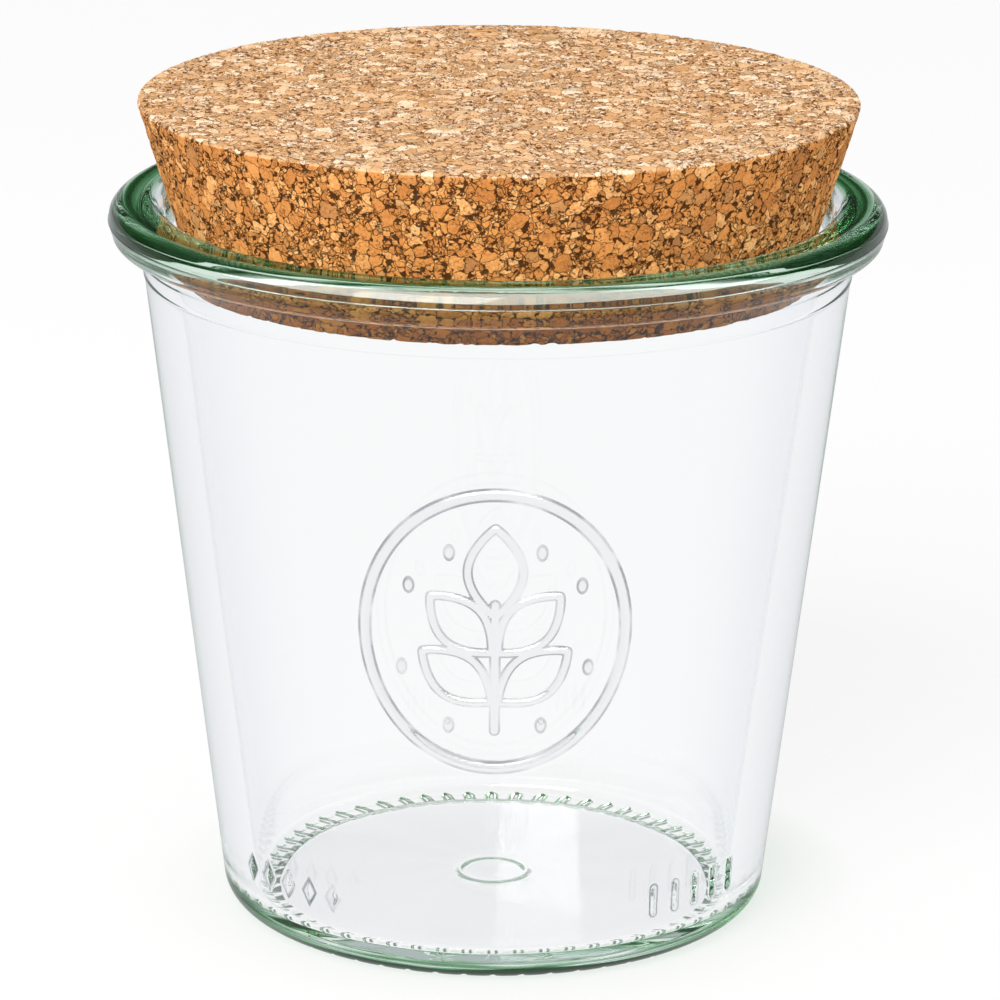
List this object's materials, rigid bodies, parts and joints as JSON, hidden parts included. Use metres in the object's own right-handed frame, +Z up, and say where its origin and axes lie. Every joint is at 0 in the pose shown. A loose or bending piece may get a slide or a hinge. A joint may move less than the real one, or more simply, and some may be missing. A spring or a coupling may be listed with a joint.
{
  "type": "glass jar with cork lid",
  "caption": "Tapered tumbler-shaped jar of green-tinged glass with a beaded rim and a knurled bearing ring, closed by a tapered cork stopper that lifts out.",
  "frame": {"origin": "centre of the base, on the plane that the jar stands on", "axes": "+Z up along the axis of the jar and the cork, towards the mouth; -Y is the side that faces the viewer"},
  "size_m": [0.0906, 0.0906, 0.0973],
  "materials": {
    "glass": "clear, fire-polished, green in the thick rim and heel",
    "cork": "pressed cork granules, sanded, unvarnished"
  },
  "bodies": {
    "jar": {"glass_jar": "glass"},
    "lid": {"cork_lid": "cork"}
  },
  "joints": [
    {"name": "lid_lift", "type": "slide", "parent": "jar", "child": "lid", "axis": [0, 0, 1], "range_m": [0, 0.05]}
  ]
}
